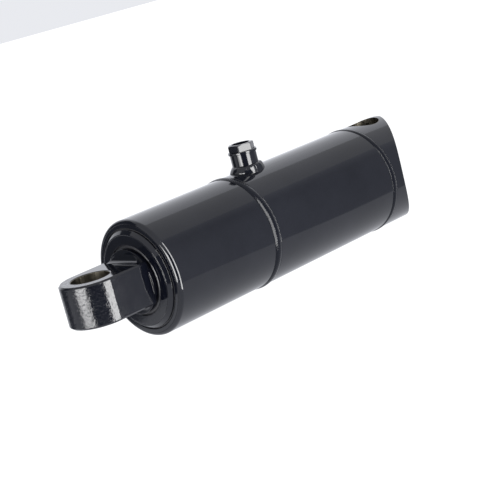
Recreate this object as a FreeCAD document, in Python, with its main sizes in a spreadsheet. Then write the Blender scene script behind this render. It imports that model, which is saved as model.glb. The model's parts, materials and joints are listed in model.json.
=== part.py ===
import FreeCAD, Part
import math
import os
import Sketcher

# Telescopic hydraulic cylinder: a welded barrel, one sleeve stage and a rod with an eye.
# Millimetres. The origin is the centre of the rear pin bore. +X is the way the stages
# extend, and +Z runs along both pin bores and out of the oil port.

DRIVING_SIZES = {
    # barrel
    "barrel_outer": 54.0,           # outer radius of both barrel tubes and the rear block
    "barrel_bore": 48.0,            # inner radius of both barrel tubes
    "rear_joint": 31.3,             # middle of the rear weld
    "mid_joint": 200.0,             # middle of the weld between the two barrel tubes
    "barrel_front": 322.3,          # front face of the barrel
    "barrel_round": 3.6,            # rounding of the outer edge at the mouth
    # rear block
    "block_rear": 23.6,             # how far the rear end stands behind the pin
    "nose_round": 15.8,             # vertical rounding of the rear end
    "flank_round": 200.0,           # slight bow of the flanks that lead to it
    "shoulder_place": 16.0,         # where the flanks reach the full width
    "pin_bore": 17.5,               # both pin bores, for a 35 mm pin
    "spigot_length": 10.5,
    # welds
    "rear_weld_half": 3.0,
    "mid_weld_half": 4.15,
    "rear_weld_crown": 0.9,
    "mid_weld_crown": 1.3,
    "weld_root_half": 1.0,
    "weld_depth": 5.0,
    # oil port
    "port_place": 168.0,            # distance of the port axis from the rear pin
    "port_boss": 12.7,
    "port_boss_top": 70.6,
    "port_boss_seat": 49.2,
    "port_passage": 5.0,
    "port_male": 10.45,             # adaptor thread, G 1/2
    "port_female": 7.475,           # minor radius of the open G 3/8 thread
    "port_thread_depth": 13.0,
    "port_collar": 17.4,
    "port_collar_low": 54.4,
    "port_collar_top": 60.0,
    "port_collar_round": 9.0,
    "washer_radius": 13.8,
    "washer_thick": 2.0,
    "hex_half_flats": 11.0,
    "hex_top": 79.6,
    "adaptor_male_length": 13.0,
    # the gland in the mouth of the barrel, and the one in the mouth of stage 1
    "barrel_gland_outer": 50.4,
    "barrel_seal_outer": 48.9,
    "barrel_wiper_outer": 47.0,
    "stage_gland_outer": 41.6,
    "stage_seal_outer": 35.0,
    "stage_wiper_outer": 32.7,
    "gland_rear": 270.0,
    "land_gap": 0.3,                # between a gland and the tube that slides through it
    "running_gap": 0.08,            # between a band, seal or wiper and what slides on it
    "wiper_stand": -0.5,            # how far the wiper lips stand in front of the gland face
    "band_thick": 2.4,
    "o_ring_section": 1.0,          # radius of the O-rings' round section
    "fit": 0.05,                    # radial gap where one piece sits in another
    # stage 1
    "stage_outer": 45.5,
    "stage_bore": 39.0,
    "stage_front": 326.4,
    "stage_rear": 48.0,
    "stage_chamfer": 3.0,
    "stage_foot_seat": 44.5,
    "stage_foot_lip": 36.0,
    "stage_foot_rear": 42.3,
    "stage_foot_front": 66.0,
    # rod and its eye
    "rod_outer": 30.0,
    "rod_bore": 22.0,
    "rod_rear": 52.0,
    "rod_front": 318.0,
    "rod_foot_rear": 48.3,
    "rod_foot_front": 68.0,
    "stub_front": 330.8,
    "eye_place": 371.0,
    "eye_outer": 28.2,
    "eye_half_thick": 19.1,
    "eye_chamfer": 1.6,
    "bore_chamfer": 0.8,
    "tang_fillet": 6.5,
    "shank_length": 24.0,
}

doc = FreeCAD.newDocument("telescopic_cylinder")
sheet = doc.addObject("Spreadsheet::Sheet", "Sizes")
for row, (alias, number) in enumerate(DRIVING_SIZES.items(), start=1):
    sheet.set(f"A{row}", alias)
    sheet.set(f"B{row}", str(number))
    sheet.setAlias(f"B{row}", alias)
doc.recompute()


class Size:
    """A length that holds its value and the sheet formula that gives it."""

    def __init__(self, value, formula):
        self.value = float(value)
        self.formula = formula

    def __add__(self, other):
        other = as_size(other)
        return Size(self.value + other.value, f"({self.formula} + {other.formula})")

    def __sub__(self, other):
        other = as_size(other)
        return Size(self.value - other.value, f"({self.formula} - {other.formula})")

    def __mul__(self, factor):
        return Size(self.value * factor, f"({self.formula} * {factor})")

    def __neg__(self):
        return self * -1


def as_size(item):
    """A plain number counts as a fixed size."""
    return item if isinstance(item, Size) else Size(item, str(float(item)))


class Sizes:
    """Every driving size, by name."""


for alias in DRIVING_SIZES:
    setattr(Sizes, alias, Size(sheet.get(alias), f"Sizes.{alias}"))
S = Sizes


# ---------------------------------------------------------------- sketches and features

def origin_plane(body, role):
    return next(item for item in body.Origin.OriginFeatures if item.Role == role)


def new_body(label):
    body = doc.addObject("PartDesign::Body", label)
    body.Label = label
    return body


def new_sketch(body, name, role):
    sketch = body.newObject("Sketcher::SketchObject", name)
    sketch.AttachmentSupport = (origin_plane(body, role), "")
    sketch.MapMode = "FlatFace"
    return sketch


def place_point(sketch, geometry, point, along, up):
    """Hold one sketch point at two distances from the sketch origin."""
    for kind, axis, distance in (("DistanceX", -2, along), ("DistanceY", -1, up)):
        if distance.value == 0:
            sketch.addConstraint(Sketcher.Constraint("PointOnObject", geometry, point, axis))
            continue
        constraint = Sketcher.Constraint(kind, -1, 1, geometry, point, distance.value)
        index = sketch.addConstraint(constraint)
        sketch.setExpression(f"Constraints[{index}]", distance.formula)


def arc_middle(start, end, radius):
    """Middle point of a short arc that bulges to the left of the way from start to end."""
    chord = end - start
    sagitta = radius - (radius ** 2 - (chord.Length / 2) ** 2) ** 0.5
    left = FreeCAD.Vector(-chord.y, chord.x, 0).normalize()
    return (start + end) * 0.5 + left * sagitta


def draw_loop(sketch, corners):
    """Draw a closed loop. A corner is (along, up), and (along, up, radius) starts an arc."""
    corners = [tuple(as_size(item) for item in corner) for corner in corners]
    points = [FreeCAD.Vector(corner[0].value, corner[1].value, 0) for corner in corners]
    ends = []
    for index, corner in enumerate(corners):
        start = points[index]
        end = points[(index + 1) % len(points)]
        if len(corner) == 2:
            edge = sketch.addGeometry(Part.LineSegment(start, end), False)
            ends.append((edge, 1, 2))
            continue
        arc = Part.Arc(start, arc_middle(start, end, corner[2].value), end)
        edge = sketch.addGeometry(arc, False)
        runs_forward = (sketch.getPoint(edge, 1) - start).Length < 1e-6
        ends.append((edge, 1, 2) if runs_forward else (edge, 2, 1))
        radius = Sketcher.Constraint("Radius", edge, corner[2].value)
        radius_index = sketch.addConstraint(radius)
        sketch.setExpression(f"Constraints[{radius_index}]", corner[2].formula)
    for index, (edge, first, last) in enumerate(ends):
        following = ends[(index + 1) % len(ends)]
        sketch.addConstraint(
            Sketcher.Constraint("Coincident", edge, last, following[0], following[1]))
        place_point(sketch, edge, first, corners[index][0], corners[index][1])


def draw_circle(sketch, along, up, radius):
    along, up, radius = as_size(along), as_size(up), as_size(radius)
    centre = FreeCAD.Vector(along.value, up.value, 0)
    edge = sketch.addGeometry(
        Part.Circle(centre, FreeCAD.Vector(0, 0, 1), radius.value), False)
    place_point(sketch, edge, 3, along, up)
    index = sketch.addConstraint(Sketcher.Constraint("Radius", edge, radius.value))
    sketch.setExpression(f"Constraints[{index}]", radius.formula)


def revolve(body, sketch, axis):
    turned = body.newObject("PartDesign::Revolution", sketch.Name + "_turned")
    turned.Profile = sketch
    turned.ReferenceAxis = (sketch, [axis])
    turned.Angle = 360
    doc.recompute()
    return turned


def turned_body(label, corners, axis="H_Axis"):
    """A piece turned about the cylinder axis (H_Axis) or a vertical axis (V_Axis)."""
    body = new_body(label)
    sketch = new_sketch(body, label + "_profile", "XZ_Plane")
    draw_loop(sketch, corners)
    revolve(body, sketch, axis)
    return body


def sleeve(label, rear, front, inner, outer):
    """A plain ring or tube along the cylinder axis."""
    return turned_body(label, [(rear, inner), (front, inner), (front, outer), (rear, outer)])


def o_ring(label, place, radius):
    """A round-section ring whose section centre is at place and radius."""
    body = new_body(label)
    sketch = new_sketch(body, label + "_section", "XZ_Plane")
    draw_circle(sketch, place, radius, S.o_ring_section)
    revolve(body, sketch, "H_Axis")
    return body


def cut(body, sketch, reversed_way=False, both_ways=False, length=None):
    """Pocket a sketch through the body and make sure that it removed something."""
    before = body.Shape.Volume
    pocket = body.newObject("PartDesign::Pocket", sketch.Name + "_cut")
    pocket.Profile = sketch
    if length is None:
        pocket.Type = "ThroughAll"
    else:
        pocket.Type = "Length"
        pocket.Length = length
    pocket.Midplane = both_ways
    pocket.Reversed = reversed_way
    doc.recompute()
    if body.Shape.Volume > before - 0.01:
        raise RuntimeError(f"{pocket.Name} cut nothing")
    return pocket


def groove(body, sketch):
    """Turn a sketch out of the body about a vertical axis."""
    before = body.Shape.Volume
    turned_cut = body.newObject("PartDesign::Groove", sketch.Name + "_cut")
    turned_cut.Profile = sketch
    turned_cut.ReferenceAxis = (sketch, ["V_Axis"])
    turned_cut.Angle = 360
    doc.recompute()
    if body.Shape.Volume > before - 0.01:
        raise RuntimeError(f"{turned_cut.Name} cut nothing")


def split_band(label, rear, front, inner, outer):
    """A guide band: a thin ring with one narrow gap across it at the bottom."""
    body = sleeve(label, rear, front, inner, outer)
    gap = new_sketch(body, label + "_gap", "XY_Plane")
    half_gap = 1.5
    draw_loop(gap, [(rear - 1, -half_gap), (front + 1, -half_gap),
                    (front + 1, half_gap), (rear - 1, half_gap)])
    cut(body, gap)
    return body


def u_seal(label, rear, front, inner, outer):
    """A lip seal whose two lips point at the oil, towards -X."""
    notch = 2.5
    lip = 0.9
    middle = (inner + outer) * 0.5
    return turned_body(label, [
        (rear, inner + lip), (rear + notch, middle), (rear, outer - lip), (rear, outer),
        (front, outer), (front, inner), (rear, inner)])


def wiper(label, rear, front, inner, outer):
    """A wiper ring: a seated heel and a lip that stands forward at the moving tube."""
    lip_width = 0.7
    return turned_body(label, [
        (rear, inner), (front, inner), (front, inner + lip_width),
        (front - 1, outer), (rear, outer)])


# ---------------------------------------------------------------- barrel

def make_rear_eye_block():
    """A solid bar with the rear pin bore, a rounded rear end and a spigot in the tube."""
    weld_rear = S.rear_joint - S.rear_weld_half
    root_rear = S.rear_joint - S.weld_root_half
    root = S.barrel_outer - S.weld_depth
    spigot = S.barrel_bore - S.fit
    spigot_chamfer = 2
    front = S.rear_joint + S.spigot_length
    spare = 4
    blank_rear = -S.block_rear - spare
    body = turned_body("rear_eye_block", [
        (blank_rear, 0), (front, 0), (front, spigot - spigot_chamfer),
        (front - spigot_chamfer, spigot), (root_rear, spigot), (root_rear, root),
        (weld_rear, S.barrel_outer), (blank_rear, S.barrel_outer)])

    # The nose is an arc about a vertical line, and bowed flanks lead to the full width.
    nose_angle = math.radians(33.4)
    nose_centre = S.nose_round - S.block_rear
    nose_x = nose_centre - S.nose_round * math.cos(nose_angle)
    nose_y = S.nose_round * math.sin(nose_angle)
    outside_x = blank_rear - spare
    outside_y = S.barrel_outer + spare
    rounding = new_sketch(body, "rear_rounding", "XY_Plane")
    draw_loop(rounding, [
        (S.shoulder_place, -S.barrel_outer, S.flank_round), (nose_x, -nose_y, S.nose_round),
        (-S.block_rear, 0, S.nose_round), (nose_x, nose_y, S.flank_round),
        (S.shoulder_place, S.barrel_outer), (S.shoulder_place, outside_y),
        (outside_x, outside_y), (outside_x, -outside_y), (S.shoulder_place, -outside_y)])
    cut(body, rounding, both_ways=True)

    bore = new_sketch(body, "rear_pin_bore", "XY_Plane")
    draw_circle(bore, 0, 0, S.pin_bore)
    cut(body, bore, both_ways=True)
    return body


def weld_bead(label, joint, half_width, crown):
    """A weld run that fills the groove between two pieces and stands a little proud."""
    root = S.barrel_outer - S.weld_depth
    crown_radius = Size(
        (half_width.value ** 2 + crown.value ** 2) / (2 * crown.value),
        f"(({half_width.formula} ^ 2 + {crown.formula} ^ 2) / (2 * {crown.formula}))")
    return turned_body(label, [
        (joint + S.weld_root_half, root), (joint - S.weld_root_half, root),
        (joint - half_width, S.barrel_outer, crown_radius),
        (joint + half_width, S.barrel_outer)])


def make_rear_barrel_tube():
    """The tube between the two welds, with a flat seat and a passage for the oil port."""
    rear_root = S.rear_joint + S.weld_root_half
    front_root = S.mid_joint - S.weld_root_half
    root = S.barrel_outer - S.weld_depth
    body = turned_body("rear_barrel_tube", [
        (rear_root, S.barrel_bore), (front_root, S.barrel_bore), (front_root, root),
        (S.mid_joint - S.mid_weld_half, S.barrel_outer),
        (S.rear_joint + S.rear_weld_half, S.barrel_outer), (rear_root, root)])
    passage = new_sketch(body, "port_passage", "XY_Plane")
    draw_circle(passage, S.port_place, 0, S.port_passage)
    cut(body, passage, reversed_way=True)
    seat = new_sketch(body, "port_seat", "XY_Plane")
    seat.setExpression("AttachmentOffset.Base.z", S.port_boss_seat.formula)
    draw_circle(seat, S.port_place, 0, S.port_boss + S.fit)
    doc.recompute()
    cut(body, seat, reversed_way=True)
    return body


def make_front_barrel_tube():
    """The tube in front of the middle weld, counterbored for the gland."""
    rear_root = S.mid_joint + S.weld_root_half
    root = S.barrel_outer - S.weld_depth
    seat = S.barrel_gland_outer + S.fit
    return turned_body("front_barrel_tube", [
        (rear_root, root), (S.mid_joint + S.mid_weld_half, S.barrel_outer),
        (S.barrel_front - S.barrel_round, S.barrel_outer, S.barrel_round),
        (S.barrel_front, seat), (S.gland_rear, seat), (S.gland_rear, S.barrel_bore),
        (rear_root, S.barrel_bore)])


def make_port():
    """The welded boss, its weld collar, the sealing washer and the open hex adaptor."""
    thread_gap = S.port_male + S.fit
    passage_floor = 4.5
    boss = turned_body("port_boss", [
        (S.port_passage, S.port_boss_seat), (S.port_boss, S.port_boss_seat),
        (S.port_boss, S.port_boss_top), (thread_gap, S.port_boss_top),
        (thread_gap, S.port_boss_seat + passage_floor),
        (S.port_passage, S.port_boss_seat + passage_floor)], "V_Axis")

    toe_drop = 6
    toe = S.port_boss_seat - toe_drop
    collar = turned_body("port_weld_blank", [
        (S.port_boss, toe), (S.port_boss, S.port_collar_top, S.port_collar_round),
        (S.port_collar, S.port_collar_low), (S.port_collar, toe)], "V_Axis")
    tube = doc.addObject("Part::Cylinder", "tube_envelope")
    tube.setExpression("Radius", S.barrel_outer.formula)
    tube.setExpression("Height", (S.port_collar * 4).formula)
    tube.Placement = FreeCAD.Placement(
        FreeCAD.Vector(-S.port_collar.value * 2, 0, 0),
        FreeCAD.Rotation(FreeCAD.Vector(0, 1, 0), 90))
    weld = doc.addObject("Part::Cut", "port_weld_collar")
    weld.Base = collar
    weld.Tool = tube

    washer = turned_body("port_seal_washer", [
        (thread_gap, S.port_boss_top), (S.washer_radius, S.port_boss_top),
        (S.washer_radius, S.port_boss_top + S.washer_thick),
        (thread_gap, S.port_boss_top + S.washer_thick)], "V_Axis")

    head_rear = S.port_boss_top + S.washer_thick
    shank_end = S.port_boss_top - S.adaptor_male_length
    adaptor = new_body("port_adaptor")
    hexagon = new_sketch(adaptor, "adaptor_hexagon", "XY_Plane")
    hexagon.setExpression("AttachmentOffset.Base.z", head_rear.formula)
    corner_radius = S.hex_half_flats * (2 / math.sqrt(3))
    turn = math.radians(33.4)
    draw_loop(hexagon, [
        (corner_radius * math.cos(turn + side * math.pi / 3),
         corner_radius * math.sin(turn + side * math.pi / 3)) for side in range(6)])
    head = adaptor.newObject("PartDesign::Pad", "adaptor_head")
    head.Profile = hexagon
    head.setExpression("Length", (S.hex_top - head_rear).formula)
    doc.recompute()

    thread_floor = S.hex_top - S.port_thread_depth
    shank = new_sketch(adaptor, "adaptor_shank", "XZ_Plane")
    draw_loop(shank, [
        (S.port_passage, shank_end), (S.port_male, shank_end), (S.port_male, head_rear),
        (S.port_passage, head_rear)])
    revolve(adaptor, shank, "V_Axis")
    mouth = new_sketch(adaptor, "adaptor_mouth", "XZ_Plane")
    countersink = 1.0
    draw_loop(mouth, [
        (0, thread_floor), (S.port_female, thread_floor),
        (S.port_female, S.hex_top - countersink),
        (S.port_female + countersink, S.hex_top), (0, S.hex_top)])
    groove(adaptor, mouth)
    corners = new_sketch(adaptor, "adaptor_corner_cut", "XZ_Plane")
    bevel_deep = corner_radius - S.hex_half_flats
    bevel_high = bevel_deep * 0.6
    draw_loop(corners, [
        (S.hex_half_flats, S.hex_top), (corner_radius + 1, S.hex_top),
        (corner_radius + 1, S.hex_top - bevel_high), (corner_radius, S.hex_top - bevel_high)])
    groove(adaptor, corners)

    for piece in (boss, weld, washer, adaptor):
        piece.setExpression("Placement.Base.x", S.port_place.formula)
    return [boss, weld, washer, adaptor]


# ---------------------------------------------------------------- glands and their seals

def make_gland_set(prefix, front, outer, moving, seal_outer, wiper_outer):
    """A screwed gland with its O-ring, two guide bands, lip seal, back-up ring and wiper."""
    rear = S.gland_rear
    land = moving + S.land_gap
    band_inner = moving + S.running_gap
    band_outer = band_inner + S.band_thick
    rear_band = (rear + 6, rear + 18)
    seal_start, seal_end, backup_end = rear + 23, rear + 31.5, rear + 33
    front_band = (rear + 37, rear + 43)
    wiper_start = front - 6
    o_ring_place = rear + 3
    o_ring_floor = outer + S.fit - S.o_ring_section * 2 - S.fit
    half_slot = S.o_ring_section + 0.2

    grooves = [rear_band + (band_outer,), (seal_start, backup_end, seal_outer),
               front_band + (band_outer,)]
    corners = [(rear, land)]
    for start, end, floor in grooves:
        corners += [(start, land), (start, floor + S.fit), (end, floor + S.fit), (end, land)]
    corners += [
        (wiper_start, land), (wiper_start, wiper_outer + S.fit), (front, wiper_outer + S.fit),
        (front, outer), (o_ring_place + half_slot, outer),
        (o_ring_place + half_slot, o_ring_floor), (o_ring_place - half_slot, o_ring_floor),
        (o_ring_place - half_slot, outer), (rear, outer)]
    return [
        turned_body(prefix + "_gland", corners),
        o_ring(prefix + "_gland_o_ring", o_ring_place, outer + S.fit - S.o_ring_section),
        split_band(prefix + "_guide_band_rear", rear_band[0] + 0.2, rear_band[1] - 0.2,
                   band_inner, band_outer),
        u_seal(prefix + "_seal", seal_start, seal_end, band_inner, seal_outer),
        sleeve(prefix + "_backup_ring", seal_end, backup_end, band_inner, seal_outer),
        split_band(prefix + "_guide_band_front", front_band[0] + 0.2, front_band[1] - 0.2,
                   band_inner, band_outer),
        wiper(prefix + "_wiper", wiper_start, front + S.wiper_stand, band_inner, wiper_outer)]


# ---------------------------------------------------------------- stage 1

def make_stage_1():
    """The sleeve that slides out of the barrel, and the foot ring that guides its inner end."""
    gland_seat = S.stage_gland_outer + S.fit
    chamfer_inner = S.stage_outer - S.stage_chamfer
    tube = turned_body("stage_1_tube", [
        (S.stage_rear, S.stage_bore), (S.gland_rear, S.stage_bore), (S.gland_rear, gland_seat),
        (S.stage_front, gland_seat), (S.stage_front, chamfer_inner),
        (S.stage_front - S.stage_chamfer, S.stage_outer),
        (S.stage_foot_front, S.stage_outer), (S.stage_foot_front, S.stage_foot_seat),
        (S.stage_rear, S.stage_foot_seat)])

    outer = S.barrel_bore - S.land_gap
    seat = S.stage_foot_seat + S.fit
    band_outer = S.barrel_bore - S.running_gap
    band_inner = band_outer - S.band_thick * 0.9
    floor = band_inner - S.fit
    band_rear = S.stage_rear + 3
    band_front = band_rear + 10
    foot = turned_body("stage_1_foot", [
        (S.stage_foot_rear, S.stage_foot_lip), (S.stage_rear, S.stage_foot_lip),
        (S.stage_rear, seat), (S.stage_foot_front, seat), (S.stage_foot_front, outer),
        (band_front, outer), (band_front, floor), (band_rear, floor), (band_rear, outer),
        (S.stage_foot_rear, outer)])
    band = split_band("stage_1_foot_guide_band", band_rear + 0.2, band_front - 0.2,
                      band_inner, band_outer)
    return [tube, foot, band]


# ---------------------------------------------------------------- rod

def make_rod():
    """The hollow rod, the foot that closes and guides its inner end, and their O-ring."""
    tube = sleeve("rod_tube", S.rod_rear, S.rod_front, S.rod_bore, S.rod_outer)

    outer = S.stage_bore - S.land_gap
    spigot = S.rod_bore - S.fit
    spigot_front = S.rod_rear + 10
    socket = S.rod_outer + S.fit
    slot_rear = S.rod_rear + 4
    slot_front = slot_rear + S.o_ring_section * 2.4
    slot_floor = S.rod_bore - S.o_ring_section * 2 - S.fit
    band_outer = S.stage_bore - S.running_gap
    band_inner = band_outer - S.band_thick
    floor = band_inner - S.running_gap
    band_rear = S.rod_rear
    band_front = band_rear + 10
    foot = turned_body("rod_foot", [
        (S.rod_foot_rear, 0), (spigot_front, 0), (spigot_front, spigot),
        (slot_front, spigot), (slot_front, slot_floor), (slot_rear, slot_floor),
        (slot_rear, spigot), (S.rod_rear, spigot), (S.rod_rear, socket),
        (S.rod_foot_front, socket), (S.rod_foot_front, outer), (band_front, outer),
        (band_front, floor), (band_rear, floor), (band_rear, outer), (S.rod_foot_rear, outer)])
    ring = o_ring("rod_foot_o_ring", (slot_rear + slot_front) * 0.5,
                  S.rod_bore - S.o_ring_section)
    band = split_band("rod_foot_guide_band", band_rear + S.land_gap, band_front - S.land_gap,
                      band_inner, band_outer)
    return [tube, foot, ring, band]


def rim_edges(feature):
    """Names of the eye bar's edges on its two flats, but for those at the stub."""
    names = []
    for index, edge in enumerate(feature.Shape.Edges, start=1):
        on_flat = all(abs(abs(end.Z) - S.eye_half_thick.value) < 1e-4 for end in edge.Vertexes)
        if on_flat and edge.CenterOfMass.x > S.stub_front.value + 1e-4:
            names.append(f"Edge{index}")
    return names


def bore_edges(feature):
    """Names of the two full-circle edges where the pin bore meets the flats."""
    names = []
    for index, edge in enumerate(feature.Shape.Edges, start=1):
        if isinstance(edge.Curve, Part.Circle) and len(edge.Vertexes) == 1:
            if abs(edge.Curve.Radius - S.pin_bore.value) < 1e-4:
                names.append(f"Edge{index}")
    return names


def chamfer(body, base, edges, size):
    bevel = body.newObject("PartDesign::Chamfer", base.Name + "_bevel")
    bevel.Base = (base, edges)
    bevel.setExpression("Size", size.formula)
    doc.recompute()
    return bevel


def make_rod_eye():
    """A forged eye: a round shank and stub, and a flat bar with a rounded end for the pin."""
    body = new_body("rod_eye")
    outline = new_sketch(body, "eye_outline", "XY_Plane")
    draw_loop(outline, [
        (S.stub_front, S.eye_outer), (S.eye_place, S.eye_outer, S.eye_outer),
        (S.eye_place + S.eye_outer, 0, S.eye_outer), (S.eye_place, -S.eye_outer),
        (S.stub_front, -S.eye_outer)])
    bar = body.newObject("PartDesign::Pad", "eye_bar")
    bar.Profile = outline
    bar.setExpression("Length", (S.eye_half_thick * 2).formula)
    bar.Midplane = True
    doc.recompute()
    chamfer(body, bar, rim_edges(bar), S.eye_chamfer)

    shank = S.rod_bore - S.fit
    shank_rear = S.rod_front - S.shank_length
    fillet_front = S.stub_front + S.tang_fillet
    stub = new_sketch(body, "eye_stub", "XZ_Plane")
    draw_loop(stub, [
        (shank_rear, 0), (fillet_front, 0), (fillet_front, S.eye_outer),
        (S.stub_front, S.eye_outer), (S.stub_front, S.rod_outer), (S.rod_front, S.rod_outer),
        (S.rod_front, shank), (shank_rear, shank)])
    revolve(body, stub, "H_Axis")

    flat = S.eye_half_thick
    fillet_top = flat + S.tang_fillet
    above = S.rod_outer + 5
    upper = [(fillet_front, flat, S.tang_fillet), (S.stub_front, fillet_top),
             (S.stub_front, above), (fillet_front, above)]
    lower = [(S.stub_front, -fillet_top, S.tang_fillet), (fillet_front, -flat),
             (fillet_front, -above), (S.stub_front, -above)]
    for name, corners in (("upper_flat", upper), ("lower_flat", lower)):
        flats = new_sketch(body, name, "XZ_Plane")
        draw_loop(flats, corners)
        cut(body, flats, both_ways=True)

    bore = new_sketch(body, "eye_bore", "XY_Plane")
    draw_circle(bore, S.eye_place, 0, S.pin_bore)
    bored = cut(body, bore, both_ways=True)
    chamfer(body, bored, bore_edges(bored), S.bore_chamfer)
    return body


# ---------------------------------------------------------------- assembly and export

pieces = [
    make_rear_eye_block(),
    weld_bead("rear_weld_bead", S.rear_joint, S.rear_weld_half, S.rear_weld_crown),
    make_rear_barrel_tube(),
    weld_bead("mid_weld_bead", S.mid_joint, S.mid_weld_half, S.mid_weld_crown),
    make_front_barrel_tube(),
]
pieces += make_port()
pieces += make_gland_set("barrel", S.barrel_front, S.barrel_gland_outer, S.stage_outer,
                         S.barrel_seal_outer, S.barrel_wiper_outer)
pieces += make_stage_1()
pieces += make_gland_set("stage_1", S.stage_front, S.stage_gland_outer, S.rod_outer,
                         S.stage_seal_outer, S.stage_wiper_outer)
pieces += make_rod()
pieces.append(make_rod_eye())
doc.recompute()

for item in doc.Objects:
    if "Invalid" in item.State or "Error" in item.State:
        raise RuntimeError(f"{item.Label} failed to rebuild")
for piece in pieces:
    if piece.Shape.isNull() or not piece.Shape.isValid() or len(piece.Shape.Solids) != 1:
        raise RuntimeError(f"{piece.Label} is not one sound solid")

os.makedirs("parts", exist_ok=True)
for piece in pieces:
    piece.Shape.exportStep(f"parts/{piece.Label}.step")
    print(f"{piece.Label:28s} {piece.Shape.Volume / 1000:9.2f} cm3")
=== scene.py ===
import json
import math

import bmesh
import bpy
from mathutils import Matrix, Vector


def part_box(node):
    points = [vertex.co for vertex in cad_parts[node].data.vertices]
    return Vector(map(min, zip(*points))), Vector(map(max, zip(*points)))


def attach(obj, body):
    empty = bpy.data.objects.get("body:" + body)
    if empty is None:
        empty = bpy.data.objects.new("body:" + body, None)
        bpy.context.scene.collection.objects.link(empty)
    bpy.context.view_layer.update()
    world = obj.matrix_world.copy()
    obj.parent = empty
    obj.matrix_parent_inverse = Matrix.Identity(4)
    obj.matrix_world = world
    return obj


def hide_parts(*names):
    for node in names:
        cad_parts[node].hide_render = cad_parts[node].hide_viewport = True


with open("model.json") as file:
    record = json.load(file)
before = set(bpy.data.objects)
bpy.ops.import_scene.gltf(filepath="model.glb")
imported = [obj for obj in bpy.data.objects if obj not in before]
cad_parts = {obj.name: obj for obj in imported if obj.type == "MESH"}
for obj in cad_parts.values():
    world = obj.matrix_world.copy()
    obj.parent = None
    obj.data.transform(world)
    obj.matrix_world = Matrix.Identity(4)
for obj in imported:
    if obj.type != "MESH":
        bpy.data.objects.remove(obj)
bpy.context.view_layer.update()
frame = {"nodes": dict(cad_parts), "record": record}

# A black enamelled telescopic cylinder: the CAD pieces get their paint, steel and rubber
# here. The weld runs and the port fitting, which the CAD keeps plain, are modelled again with
# their ripples and their thread.
# Metres, in the part's frame: +X out along the rod, +Z along the pins and the oil port.


# ---------------------------------------------------------------- places read from the frame

BARREL_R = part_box("rear_barrel_tube")[1][1]
BARREL_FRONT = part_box("front_barrel_tube")[1][0]
STAGE_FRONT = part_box("stage_1_tube")[1][0]
MOUNTS = {mount["name"]: mount for mount in frame["record"]["mounts"]}
EYE_X = MOUNTS["rod_eye_bore"]["pos_m"][0]
PIN_R = MOUNTS["rod_eye_bore"]["dims"]["r_mm"] / 1000
PORT_X = MOUNTS["oil_port"]["pos_m"][0]
PORT_THREAD_R = MOUNTS["oil_port"]["dims"]["r_mm"] / 1000

WELD_DEPTH = 0.005         # the girth welds' groove below the barrel's surface
ROOT_HALF = 0.001          # half its width at the root
WELD_INSET = 0.0001        # keeps the port weld inside its CAD piece
SINK = 0.00005             # keeps a weld's foot just under the face it sits on
RIPPLE_STEPS = 6           # mesh rows in one ripple of a girth weld
CROWN_STEPS = 12
PORT_RIPPLE_STEPS = 14
FILLET_STEPS = 10
PORT_FLARE_AZIMUTH = math.radians(-42)    # where the port weld is most like a cone
HEX_STEPS = 240
HEX_TURN = math.radians(33.4)
HEX_FLATS = 0.011          # half the width across flats
CORNER_BEVEL = 0.6         # height of the corner bevel for its depth
MALE_R = 0.01045           # shank of the fitting
PASSAGE_R = 0.005
THREAD_LONG = 0.013
COUNTERSINK = 0.001
THREAD_PITCH = 0.001337
THREAD_DEPTH = 0.00085
THREAD_LEVELS = 8          # mesh levels in one turn of thread


# ---------------------------------------------------------------- camera

CAMERA_AZIMUTH = math.radians(49.17)    # from +X towards +Y
CAMERA_ELEVATION = math.radians(12.70)
CAMERA_ROLL = math.radians(-14.37)
CAMERA_DISTANCE = 24.82 * BARREL_R
CAMERA_TARGET = Vector((2.407, -1.267, -0.733)) * BARREL_R
CAMERA_LENS = 95.1


def make_camera():
    back = Vector((math.cos(CAMERA_ELEVATION) * math.cos(CAMERA_AZIMUTH),
                   math.cos(CAMERA_ELEVATION) * math.sin(CAMERA_AZIMUTH),
                   math.sin(CAMERA_ELEVATION)))
    data = bpy.data.cameras.new("camera")
    data.lens = CAMERA_LENS
    data.clip_end = 50
    camera = bpy.data.objects.new("camera", data)
    turn = back.to_track_quat("Z", "Y").to_matrix().to_4x4()
    roll = Matrix.Rotation(CAMERA_ROLL, 4, "Z")
    camera.matrix_world = Matrix.Translation(CAMERA_TARGET + back * CAMERA_DISTANCE) @ turn @ roll
    bpy.context.scene.collection.objects.link(camera)
    bpy.context.scene.camera = camera


# ---------------------------------------------------------------- node helpers

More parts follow.
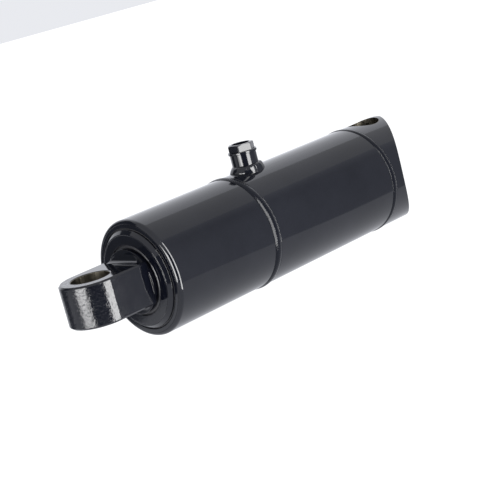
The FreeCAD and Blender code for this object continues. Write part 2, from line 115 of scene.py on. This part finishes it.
class Nodes:
    """A short way to write a material's node tree."""

    def __init__(self, name):
        self.material = bpy.data.materials.new(name)
        self.material.use_nodes = True
        self.tree = self.material.node_tree
        self.shader = self.tree.nodes["Principled BSDF"]

    def add(self, kind, settings=None, **inputs):
        node = self.tree.nodes.new(kind)
        for key, value in (settings or {}).items():
            setattr(node, key, value)
        for key, value in inputs.items():
            self.put(node, key.replace("_", " "), value)
        return node

    def put(self, node, socket, value):
        target = node.inputs[socket] if not socket.isdigit() else node.inputs[int(socket)]
        if isinstance(value, bpy.types.NodeSocket):
            self.tree.links.new(value, target)
        else:
            target.default_value = value

    def place(self):
        """The point in the part's frame at rest."""
        return self.add("ShaderNodeTexCoord").outputs["Object"]

    def split(self, vector):
        return self.add("ShaderNodeSeparateXYZ", Vector=vector).outputs

    def maths(self, operation, first, second=0.0, third=0.0):
        node = self.add("ShaderNodeMath", {"operation": operation})
        for index, value in enumerate((first, second, third)):
            self.put(node, str(index), value)
        return node.outputs[0]

    def noise(self, scale, detail=3.0, roughness=0.5, vector=None):
        node = self.add("ShaderNodeTexNoise", Scale=scale, Detail=detail, Roughness=roughness)
        self.put(node, "Vector", vector or self.place())
        return node.outputs["Fac"]

    def ramp(self, factor, low, high, to_low=0.0, to_high=1.0):
        node = self.add("ShaderNodeMapRange", {"clamp": True})
        for socket, value in (("Value", factor), ("From Min", low), ("From Max", high),
                              ("To Min", to_low), ("To Max", to_high)):
            self.put(node, socket, value)
        return node.outputs["Result"]

    def mix_colour(self, factor, first, second):
        node = self.add("ShaderNodeMix", {"data_type": "RGBA"})
        self.put(node, "0", factor)
        self.put(node, "6", first)
        self.put(node, "7", second)
        return node.outputs[2]

    def mix(self, factor, first, second):
        node = self.add("ShaderNodeMix", {"data_type": "FLOAT"})
        self.put(node, "0", factor)
        self.put(node, "2", first)
        self.put(node, "3", second)
        return node.outputs[0]

    def bump(self, height, distance, strength, normal=None):
        node = self.add("ShaderNodeBump", Height=height, Distance=distance, Strength=strength)
        if normal is not None:
            self.put(node, "Normal", normal)
        return node.outputs["Normal"]

    def distance_from_upright(self, x):
        """How far a point is from the vertical line through x on the centre line."""
        parts = self.split(self.place())
        along = self.maths("SUBTRACT", parts["X"], x)
        across = self.maths("MULTIPLY", parts["Y"], parts["Y"])
        return self.maths("SQRT", self.maths("MULTIPLY_ADD", along, along, across))


# ---------------------------------------------------------------- materials

BLACK = (0.0010, 0.0013, 0.0028, 1)
BLACK_WORN = (0.0026, 0.0030, 0.0050, 1)
PAINT_BEHIND = 0.0025      # how far the paint runs into the wiper
EDGE_ROUND = 0.0007        # how softly the paint rounds an edge
BEAD_SPECULAR = 0.18       # girth welds are duller than the tubes
BORE_STEEL = ((0.16, 0.145, 0.115, 1), (0.045, 0.041, 0.032, 1))      # oiled and stained
GROUND_STEEL = ((0.50, 0.50, 0.51, 1), (0.42, 0.42, 0.43, 1))


def paint_surface(nodes, orange_peel, cast):
    """Black enamel: colour, roughness and normal sockets. Cast may vary over the piece."""
    cloud = nodes.noise(18, 4, 0.6)
    colour = nodes.mix_colour(nodes.ramp(cloud, 0.35, 0.7), BLACK, BLACK_WORN)
    smear = nodes.noise(55, 5, 0.65)
    roughness = nodes.ramp(smear, 0.3, 0.75, 0.05, 0.11)
    edges = nodes.add("ShaderNodeBevel", {"samples": 6}, Radius=EDGE_ROUND).outputs["Normal"]
    swell = nodes.bump(nodes.noise(95, 2, 0.5), 0.00010, orange_peel * 0.4, edges)
    peel = nodes.bump(nodes.noise(620, 2, 0.5), 0.00002, orange_peel, swell)
    if cast is not None:
        pits = nodes.noise(430, 3, 0.6)
        peel = nodes.bump(pits, 0.00034, cast, peel)
        rough = nodes.maths("MULTIPLY", nodes.ramp(pits, 0.45, 0.75, 0.0, 0.3), cast)
        roughness = nodes.maths("ADD", roughness, rough)
    return colour, roughness, peel


def steel_surface(nodes, stretch, colours=BORE_STEEL):
    """Bare machined steel with fine turning lines across the stretch axis."""
    mapping = nodes.add("ShaderNodeMapping", Vector=nodes.place(), Scale=stretch)
    lines = nodes.noise(900, 3, 0.6, mapping.outputs[0])
    stain = nodes.noise(60, 4, 0.6)
    colour = nodes.mix_colour(nodes.ramp(stain, 0.35, 0.7), *colours)
    roughness = nodes.ramp(lines, 0.3, 0.7, 0.24, 0.42)
    normal = nodes.bump(lines, 0.00002, 0.6)
    return colour, roughness, normal


def finish_material(nodes, colour, roughness, normal, metallic):
    for socket, value in (("Base Color", colour), ("Roughness", roughness),
                          ("Normal", normal), ("Metallic", metallic)):
        nodes.put(nodes.shader, socket, value)


def black_enamel(name, orange_peel=0.35, cast=None):
    nodes = Nodes(name)
    colour, roughness, normal = paint_surface(nodes, orange_peel, cast)
    finish_material(nodes, colour, roughness, normal, 0.0)
    return nodes.material


def masked_enamel(name, make_mask, stretch, orange_peel=0.35, cast=None, colours=BORE_STEEL):
    """Enamel with bare steel wherever the mask is 1."""
    nodes = Nodes(name)
    mask = make_mask(nodes)
    paint = paint_surface(nodes, orange_peel, cast and cast(nodes))
    steel = steel_surface(nodes, stretch, colours)
    colour = nodes.mix_colour(mask, paint[0], steel[0])
    roughness = nodes.mix(mask, paint[1], steel[1])
    normal = nodes.add("ShaderNodeMix", {"data_type": "VECTOR"})
    nodes.put(normal, "0", mask)
    nodes.put(normal, "4", paint[2])
    nodes.put(normal, "5", steel[2])
    finish_material(nodes, colour, roughness, normal.outputs[1], mask)
    return nodes.material


def dark_bore_enamel(name, x, radius):
    """Enamel whose gloss is taken away inside an upright hole through x: painted shade for the
    dark inside of the hole.
    """
    nodes = Nodes(name)
    colour, roughness, normal = paint_surface(nodes, 0.4, None)
    # Inside the hole the paint loses its gloss and goes near black, a painted shade that stands in
    # for the hole's dark.
    outside = nodes.ramp(nodes.distance_from_upright(x), radius, radius + 0.0004)
    finish_material(nodes, colour, nodes.mix(outside, 0.8, roughness), normal, 0.0)
    nodes.put(nodes.shader, "Specular IOR Level", nodes.mix(outside, 0.04, 0.5))
    return nodes.material


def pin_bore_mask(x):
    """1 on the wall of a pin bore through x, with the paint's ragged edge at its mouth."""
    def mask(nodes):
        distance = nodes.distance_from_upright(x)
        ragged = nodes.ramp(nodes.noise(300, 3, 0.6), 0.3, 0.7, -0.0002, 0.0002)
        edge = nodes.maths("ADD", distance, ragged)
        return nodes.ramp(edge, PIN_R + 0.0002, PIN_R + 0.0005, 1.0, 0.0)
    return mask


def behind_mask(x):
    """1 behind x, where the piece slides inside another and isn't painted."""
    def mask(nodes):
        ragged = nodes.ramp(nodes.noise(240, 3, 0.6), 0.3, 0.7, -0.0004, 0.0004)
        place = nodes.maths("ADD", nodes.split(nodes.place())["X"], ragged)
        return nodes.ramp(place, x, x + 0.0003, 1.0, 0.0)
    return mask


def eye_cast(nodes):
    """The eye's rim is rough as cast; its tang is smooth."""
    return nodes.ramp(nodes.split(nodes.place())["X"], EYE_X - 0.001, EYE_X + 0.003, 0.0, 0.8)


def rod_eye_mask(nodes):
    inside = behind_mask(STAGE_FRONT - PAINT_BEHIND)(nodes)
    return nodes.maths("MAXIMUM", inside, pin_bore_mask(EYE_X)(nodes))


def plain_steel(name, colour_low, colour_high, stretch):
    nodes = Nodes(name)
    colour, roughness, normal = steel_surface(nodes, stretch)
    tint = nodes.mix_colour(nodes.noise(40, 4, 0.6), colour_low, colour_high)
    finish_material(nodes, tint, roughness, normal, 1.0)
    return nodes.material


def rubber(name, colour_low, colour_high, roughness_low, roughness_high):
    nodes = Nodes(name)
    fine = nodes.noise(700, 3, 0.6)
    colour = nodes.mix_colour(nodes.noise(80, 3, 0.6), colour_low, colour_high)
    roughness = nodes.ramp(fine, 0.3, 0.7, roughness_low, roughness_high)
    finish_material(nodes, colour, roughness, nodes.bump(fine, 0.00002, 0.5), 0.0)
    return nodes.material


# ---------------------------------------------------------------- materials on the CAD pieces

def dress(node, material):
    mesh = frame["nodes"][node].data
    mesh.materials.clear()
    mesh.materials.append(material)


def dress_cad_pieces():
    along_x = (0.04, 1, 1)
    along_z = (1, 1, 0.04)
    enamel = black_enamel("black_enamel")
    fittings = black_enamel("fitting_enamel", 0.5)
    turned = plain_steel("turned_steel", (0.45, 0.45, 0.46, 1), (0.6, 0.6, 0.6, 1), along_x)
    chrome = plain_steel("ground_chrome", (0.62, 0.63, 0.65, 1), (0.7, 0.71, 0.73, 1), along_x)
    wiper = rubber("wiper_rubber", (0.010, 0.010, 0.012, 1), (0.018, 0.018, 0.02, 1), 0.3, 0.45)
    nitrile = rubber("nitrile", (0.008, 0.008, 0.008, 1), (0.016, 0.016, 0.016, 1), 0.4, 0.55)
    strip = rubber("guide_strip", (0.06, 0.11, 0.09, 1), (0.09, 0.15, 0.12, 1), 0.5, 0.65)
    backup = rubber("backup_ring", (0.6, 0.58, 0.5, 1), (0.7, 0.68, 0.6, 1), 0.45, 0.6)

    rear = masked_enamel("rear_block_enamel", pin_bore_mask(0.0), along_z)
    eye = masked_enamel("eye_enamel", rod_eye_mask, along_z, 0.4, eye_cast)
    sleeve = masked_enamel("sleeve_enamel", behind_mask(BARREL_FRONT - PAINT_BEHIND), along_x,
                           colours=GROUND_STEEL)

    looks = {
        "rear_eye_block": rear, "rear_barrel_tube": enamel, "front_barrel_tube": enamel,
        "port_boss": fittings, "port_adaptor": fittings, "port_seal_washer": fittings,
        "barrel_gland": enamel, "stage_1_gland": enamel, "stage_1_tube": sleeve,
        "rod_eye": eye, "rod_tube": chrome, "stage_1_foot": turned, "rod_foot": turned,
        "rear_weld_bead": enamel, "mid_weld_bead": enamel, "port_weld_collar": fittings,
    }
    for name in frame["nodes"]:
        if name in looks:
            dress(name, looks[name])
        elif "o_ring" in name:
            dress(name, nitrile)
        elif "guide_band" in name:
            dress(name, strip)
        elif "backup" in name:
            dress(name, backup)
        else:
            dress(name, wiper)


def make_details():
    weld = black_enamel("weld_enamel", 0.5, 0.25)
    # The fitting's threaded hole is darkened with painted shade: its gloss is taken away there.
    fitting = dark_bore_enamel("hex_enamel_shaded_bore", PORT_X, PORT_THREAD_R + THREAD_DEPTH)
    bead = black_enamel("bead_enamel", 0.5, 0.4)
    gloss = bead.node_tree.nodes["Principled BSDF"].inputs["Specular IOR Level"]
    gloss.default_value = BEAD_SPECULAR
    girth_weld("mid_weld_bead", 150, 1.7, bead)
    girth_weld("rear_weld_bead", 190, 4.1, bead)
    port_weld(22, 2.6, weld)
    hex_adaptor(fitting)


# ---------------------------------------------------------------- weld runs and the port thread

def ripple(phase):
    """Height from 0 to 1 of one weld ripple: a steep front and a long back."""
    share = phase - math.floor(phase)
    return math.sqrt(share) * (1 - share ** 6)


def wobble(angle, seed):
    """A slow wander from -1 to 1 round a weld run."""
    return (math.sin(3 * angle + seed) + math.sin(7 * angle + 2.1 * seed)
            + math.sin(16 * angle + 0.7 * seed)) / 3


def closed_grid(name, rows, body, material):
    """A closed ring of quads through rows of points, where the last row meets the first."""
    mesh = bpy.data.meshes.new(name)
    points = [point for row in rows for point in row]
    width = len(rows[0])
    faces = []
    for index in range(len(rows)):
        near = index * width
        far = (index + 1) % len(rows) * width
        for step in range(width):
            following = (step + 1) % width
            faces.append((near + step, near + following, far + following, far + step))
    mesh.from_pydata(points, [], faces)
    mesh.materials.append(material)
    for polygon in mesh.polygons:
        polygon.use_smooth = True
    mesh.update()
    piece = bpy.data.objects.new(name, mesh)
    bpy.context.scene.collection.objects.link(piece)
    sort_normals(mesh)
    sharp = piece.modifiers.new("sharp_edges", "EDGE_SPLIT")
    sharp.split_angle = math.radians(40)
    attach(piece, body)
    return piece


def sort_normals(mesh):
    work = bmesh.new()
    work.from_mesh(mesh)
    bmesh.ops.recalc_face_normals(work, faces=work.faces)
    work.to_mesh(mesh)
    work.free()


def girth_weld(node, ripples, seed, material):
    """The weld run round the barrel, with its ripples and a slightly uneven toe."""
    low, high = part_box(node)
    joint = (low[0] + high[0]) / 2
    half = (high[0] - low[0]) / 2
    crown = high[1] - BARREL_R
    root = -min(low[1], low[2]) - crown - WELD_DEPTH
    rows = []
    for index in range(ripples * RIPPLE_STEPS):
        angle = 2 * math.pi * index / (ripples * RIPPLE_STEPS)
        edge = half * (0.95 + 0.04 * wobble(angle, seed))
        row = []
        for step in range(CROWN_STEPS + 1):
            across = 2 * step / CROWN_STEPS - 1
            phase = ripples * angle / (2 * math.pi) + 0.9 * across * across
            shape = 1 - across * across
            fullness = 0.74 + 0.22 * ripple(phase) + 0.03 * wobble(angle, 2 * seed)
            height = crown * shape * fullness
            row.append((joint + edge * across, BARREL_R + height - 0.00004))
        row += [(joint + ROOT_HALF, root), (joint - ROOT_HALF, root)]
        rows.append([(x, radius * math.cos(angle), radius * math.sin(angle)) for x, radius in row])
    weld = closed_grid(node + "_run", rows, "barrel", material)
    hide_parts(node)


def port_weld(ripples, seed, material):
    """The lumpy fillet weld between the port boss and the round barrel."""
    low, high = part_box("port_weld_collar")
    toe_radius = (high[0] - low[0]) / 2 - WELD_INSET
    boss_low, boss_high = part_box("port_boss")
    boss_radius = (boss_high[0] - boss_low[0]) / 2 - SINK
    top = high[2] - WELD_INSET
    rows = []
    for index in range(ripples * PORT_RIPPLE_STEPS):
        angle = 2 * math.pi * index / (ripples * PORT_RIPPLE_STEPS)
        toe = toe_radius * (0.985 + 0.015 * wobble(angle, seed))
        toe_z = math.sqrt(BARREL_R ** 2 - (toe * math.sin(angle)) ** 2)
        crest = top - 0.0003 + 0.0003 * wobble(angle, 3 * seed)
        row = []
        for step in range(FILLET_STEPS + 1):
            share = step / FILLET_STEPS
            phase = ripples * angle / (2 * math.pi) + 1.6 * (share - 0.5) ** 2
            swell = 0.45 + 0.35 * ripple(phase) + 0.2 * wobble(angle, 5 * seed)
            out = math.sin(math.pi / 2 * share) ** (1.25 - 0.5 * swell)
            drop = (1 - math.cos(math.pi / 2 * share)) ** (0.85 + 0.4 * swell)
            flare = 0.35 + 0.35 * math.cos(angle - PORT_FLARE_AZIMUTH)
            out += (share - out) * flare
            drop += (share - drop) * flare
            radius = boss_radius + (toe - boss_radius) * out
            height = crest + (toe_z - SINK - crest) * drop
            row.append((radius, height))
        row += [(toe, toe_z - 0.001), (boss_radius, toe_z - 0.001)]
        rows.append([(PORT_X + radius * math.cos(angle), radius * math.sin(angle), height)
                     for radius, height in row])
    weld = closed_grid("port_weld_run", rows, "barrel", material)
    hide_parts("port_weld_collar")


def hex_adaptor(material):
    """The open hexagon fitting, with its bevelled corners and a real internal thread."""
    low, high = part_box("port_adaptor")
    top, foot = high[2], low[2]
    head_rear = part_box("port_seal_washer")[1][2]
    thread_floor = top - THREAD_LONG
    thread_top = top - COUNTERSINK
    levels = int((thread_top - thread_floor) / THREAD_PITCH * THREAD_LEVELS)
    rows = []
    for index in range(HEX_STEPS):
        angle = 2 * math.pi * index / HEX_STEPS
        facet = (angle - HEX_TURN) % (math.pi / 3) - math.pi / 6
        across = HEX_FLATS / math.cos(facet)
        bevel = (across - HEX_FLATS) * CORNER_BEVEL
        row = [(across, head_rear), (across, top - bevel), (HEX_FLATS - 0.0002, top),
               (PORT_THREAD_R + COUNTERSINK, top)]
        for level in range(levels + 1):
            height = thread_top - (thread_top - thread_floor) * level / levels
            phase = height / THREAD_PITCH + angle / (2 * math.pi)
            groove = 1 - abs(2 * (phase - math.floor(phase)) - 1)
            fade = min(1, 4 * (1 - level / levels))
            row.append((PORT_THREAD_R + THREAD_DEPTH * groove * fade, height))
        row += [(PASSAGE_R, thread_floor), (PASSAGE_R, foot), (MALE_R, foot), (MALE_R, head_rear)]
        rows.append([(PORT_X + radius * math.cos(angle), radius * math.sin(angle), height)
                     for radius, height in row])
    fitting = closed_grid("port_hex_fitting", rows, "barrel", material)
    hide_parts("port_adaptor")


# ---------------------------------------------------------------- light and floor

FLOOR_Z = -0.7
FLOOR_HALF = 30
UNDER_DROP = 0.01
SIDE_CARD_Y = 0.8
BACK_CARD_Y = -1.5
FACE_CARD_Y = -1.0
DARK_CARD_Z = (-0.5, 1.0)
SOFTBOX_RADIANCE = 14


def softbox(name, place, aim, width, height, radiance):
    """A rectangular studio light, given by how bright its face is."""
    data = bpy.data.lights.new(name, "AREA")
    data.shape = "RECTANGLE"
    data.size = width
    data.size_y = height
    data.energy = radiance * math.pi * width * height
    light = bpy.data.objects.new(name, data)
    direction = Vector(aim) - Vector(place)
    turn = direction.to_track_quat("-Z", "Y").to_matrix().to_4x4()
    light.matrix_world = Matrix.Translation(place) @ turn
    light.visible_camera = False
    bpy.context.scene.collection.objects.link(light)


def glow_material(name, colour, glow, albedo, fades=()):
    """A glowing face. Each fade adds glow along one axis: (axis, low, high, at low, at high)."""
    nodes = Nodes(name)
    for axis, *fade in fades:
        glow = nodes.maths("ADD", glow, nodes.ramp(nodes.split(nodes.place())[axis], *fade))
    speck = nodes.noise(3, 2, 0.5)
    shade = nodes.mix_colour(speck, (albedo, albedo, albedo, 1), (albedo * 0.97,) * 3 + (1,))
    nodes.put(nodes.shader, "Base Color", shade)
    nodes.put(nodes.shader, "Roughness", 0.9)
    nodes.put(nodes.shader, "Emission Color", colour)
    nodes.put(nodes.shader, "Emission Strength", glow)
    return nodes.material


def card(name, corners, material, seen=False):
    """A flat studio card through four points."""
    mesh = bpy.data.meshes.new(name)
    mesh.from_pydata([tuple(corner) for corner in corners], [], [range(len(corners))])
    mesh.materials.append(material)
    piece = bpy.data.objects.new(name, mesh)
    piece.visible_camera = seen
    piece.visible_shadow = False
    bpy.context.scene.collection.objects.link(piece)
    return piece


def make_world(strength):
    world = bpy.data.worlds.new("studio")
    world.use_nodes = True
    background = world.node_tree.nodes["Background"]
    background.inputs["Color"].default_value = (0.97, 0.985, 1.03, 1)
    background.inputs["Strength"].default_value = strength
    bpy.context.scene.world = world


def toward(azimuth, elevation, distance, start):
    azimuth, elevation = math.radians(azimuth), math.radians(elevation)
    return Vector(start) + distance * Vector((math.cos(elevation) * math.cos(azimuth),
                                              math.cos(elevation) * math.sin(azimuth),
                                              math.sin(elevation)))


def upright(y, outline):
    """Corners of a card that stands at y, from its outline in x and z."""
    return [(x, y, z) for x, z in outline]


def level(z):
    """Corners of a wide level sheet at height z."""
    return [(-FLOOR_HALF, -FLOOR_HALF, z), (FLOOR_HALF, -FLOOR_HALF, z),
            (FLOOR_HALF, FLOOR_HALF, z), (-FLOOR_HALF, FLOOR_HALF, z)]


def make_floor():
    """The floor that is seen, and a whiter sheet below it that only reflections see."""
    pale = glow_material("pale_floor", (1, 1, 1, 1), 0.97, 0.12)
    floor = card("floor", level(FLOOR_Z), pale, True)
    floor.visible_glossy = False
    under = glow_material("under_card_white", (0.97, 0.99, 1.06, 1), 0.80, 0.02)
    card("under_card", level(FLOOR_Z - UNDER_DROP), under)


def make_cards():
    """Cards that the glossy paint reflects; the camera doesn't see them."""
    grey = glow_material("side_card_grey", (0.96, 0.99, 1.10, 1), 0.45, 0.0,
                         [("X", -0.75, -0.30, 0.0, 0.15), ("Z", 0.9, 1.6, 0.0, 0.18)])
    card("side_card", upright(SIDE_CARD_Y, [
        (-0.12, -0.30), (-0.347, -0.37), (-0.845, -0.64), (-4.0, -0.66), (-4.0, 1.6),
        (-0.12, 1.6)]), grey)
    white = glow_material("back_card_white", (0.97, 0.99, 1.06, 1), 1.28, 0.0)
    card("back_card", upright(BACK_CARD_Y, [
        (-6, -0.25), (0.6, -0.25), (0.6, 2.6), (-6, 5.0)]), white)
    dark = glow_material("camera_side_dark", (0.9, 0.97, 1.1, 1), 0.10, 0.0)
    low, high = DARK_CARD_Z
    card("camera_side_card", [(-0.12, 1.5, low), (1.0, 1.5, low), (1.0, 1.5, high),
                              (-0.12, 1.5, high)], dark)
    card("camera_front_card", [(1.0, 1.5, low), (1.75, 0.75, low), (1.75, 0.75, high),
                               (1.0, 1.5, high)], dark)
    card("face_dark_card", upright(FACE_CARD_Y, [
        (0.45, -0.542), (1.3, -0.265), (1.6, 1.3), (0.45, 1.3)]), dark)


def make_stage_and_lights():
    make_world(0.84)
    make_floor()
    make_cards()
    eye = (EYE_X, 0, 0)
    softbox("front_softbox", toward(12, 2.5, 1.2, eye), eye, 0.78, 0.80, SOFTBOX_RADIANCE)
    softbox("side_softbox", (0.18, 0.53, 0.22), (0.18, 0, 0.22), 0.26, 1.04, SOFTBOX_RADIANCE)


dress_cad_pieces()
make_details()
make_camera()
make_stage_and_lights()
bpy.context.scene.view_settings.view_transform = "Standard"
